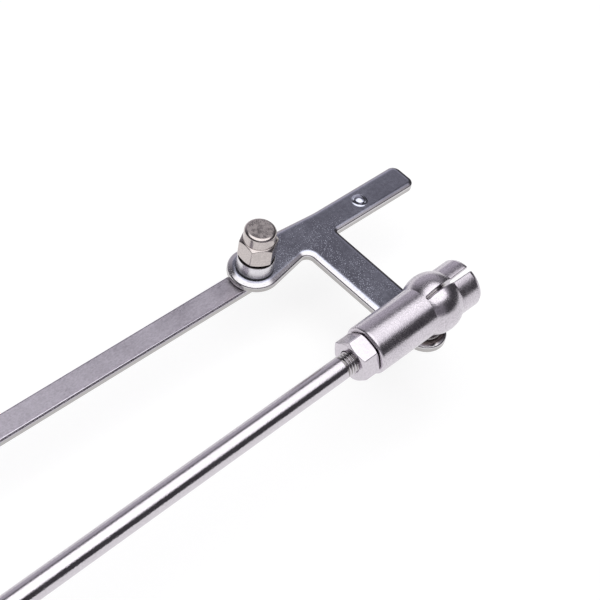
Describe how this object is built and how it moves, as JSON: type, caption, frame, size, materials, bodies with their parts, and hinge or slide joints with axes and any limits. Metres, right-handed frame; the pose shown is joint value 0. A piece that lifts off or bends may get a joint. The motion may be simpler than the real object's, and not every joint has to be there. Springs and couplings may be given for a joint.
{
  "type": "casement window stay",
  "caption": "Parallel-arm stay: a flat bar and a ball-jointed tie rod carry a T-shaped lever on a frame bracket, so the lever's tongue keeps its direction as the arms swing.",
  "frame": {"origin": "middle of the bracket's mounting face, halfway between its two pivots, with the arms as in the picture", "axes": "+X from the bar's pivot to the tie rod's pivot, +Z out of the window frame, along every pivot"},
  "size_m": [0.1992, 0.2932, 0.0403],
  "materials": {
    "lever_steel": "polished stainless steel with eased edges",
    "bar_steel": "satin stainless steel, ground along its length",
    "rod_steel": "bright drawn stainless steel",
    "turned_steel": "finely turned stainless steel",
    "nut_steel": "bright nickel-grey steel",
    "ball_steel": "bright turned stainless steel",
    "bracket_steel": "satin stainless steel",
    "nylon": "black nylon",
    "acetal": "natural acetal"
  },
  "bodies": {
    "frame": {"frame_bracket": "bracket_steel", "bar_post": "turned_steel", "post_washer": "nylon", "post_top_washer": "nylon", "post_spacer": "turned_steel", "post_cap_nut": "nut_steel", "frame_ball_stud": "ball_steel"},
    "bar": {"flat_bar": "bar_steel", "lever_stud": "nut_steel", "lever_washer": "nylon", "lever_top_washer": "nylon", "lever_spacer": "turned_steel", "lever_cap_nut": "nut_steel"},
    "lever": {"lever_plate": "lever_steel", "lever_ball_stud": "ball_steel"},
    "rod": {"tie_rod": "rod_steel", "lever_socket": "turned_steel", "lever_ball_seat": "acetal", "lever_lock_nut": "nut_steel", "frame_socket": "turned_steel", "frame_ball_seat": "acetal", "frame_lock_nut": "nut_steel"}
  },
  "joints": [
    {"name": "bar_swing", "type": "hinge", "parent": "frame", "child": "bar", "pos_m": [-0.02469, 0, 0.0168], "axis": [0, 0, 1], "range_deg": [-44, 86]},
    {"name": "lever_turn", "type": "hinge", "parent": "bar", "child": "lever", "pos_m": [0.08468, 0.22481, 0.0198], "axis": [0, 0, 1], "range_deg": [-86, 44]},
    {"name": "rod_swing", "type": "hinge", "parent": "frame", "child": "rod", "pos_m": [0.02469, 0, 0.0138], "axis": [0, 0, 1], "range_deg": [-44, 86]}
  ],
  "couplings": [
    {"joint": "lever_turn", "follows": "bar_swing", "ratio": -1},
    {"joint": "rod_swing", "follows": "bar_swing", "ratio": 1}
  ]
}
